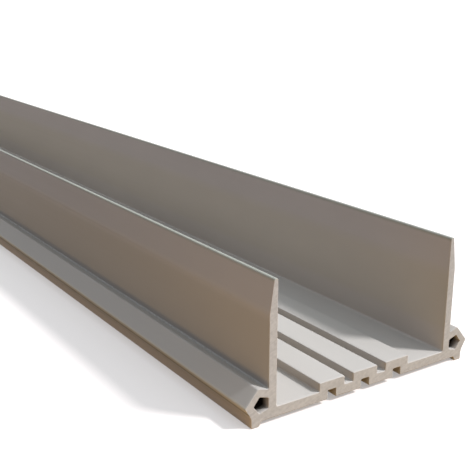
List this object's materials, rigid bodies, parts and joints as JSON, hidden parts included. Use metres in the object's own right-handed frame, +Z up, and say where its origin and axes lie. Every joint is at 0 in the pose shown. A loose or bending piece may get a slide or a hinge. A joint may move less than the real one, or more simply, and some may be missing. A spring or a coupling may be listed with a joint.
{
  "type": "door bottom seal strip",
  "caption": "Flexible U-shaped extrusion with hollow side bulbs and a notched base that slides over the bottom edge of a door to seal its gap.",
  "frame": {"origin": "on the floor, at the middle of the strip's length and of its width, in the plane of the undersides of the feet", "axes": "+X along the strip, +Y across the thickness of the door, +Z up, from the floor to the lips of the walls"},
  "size_m": [0.9144, 0.0594, 0.029],
  "materials": {
    "soft_vinyl": "satin"
  },
  "bodies": {
    "root": {"seal_strip": "soft_vinyl"}
  },
  "joints": []
}
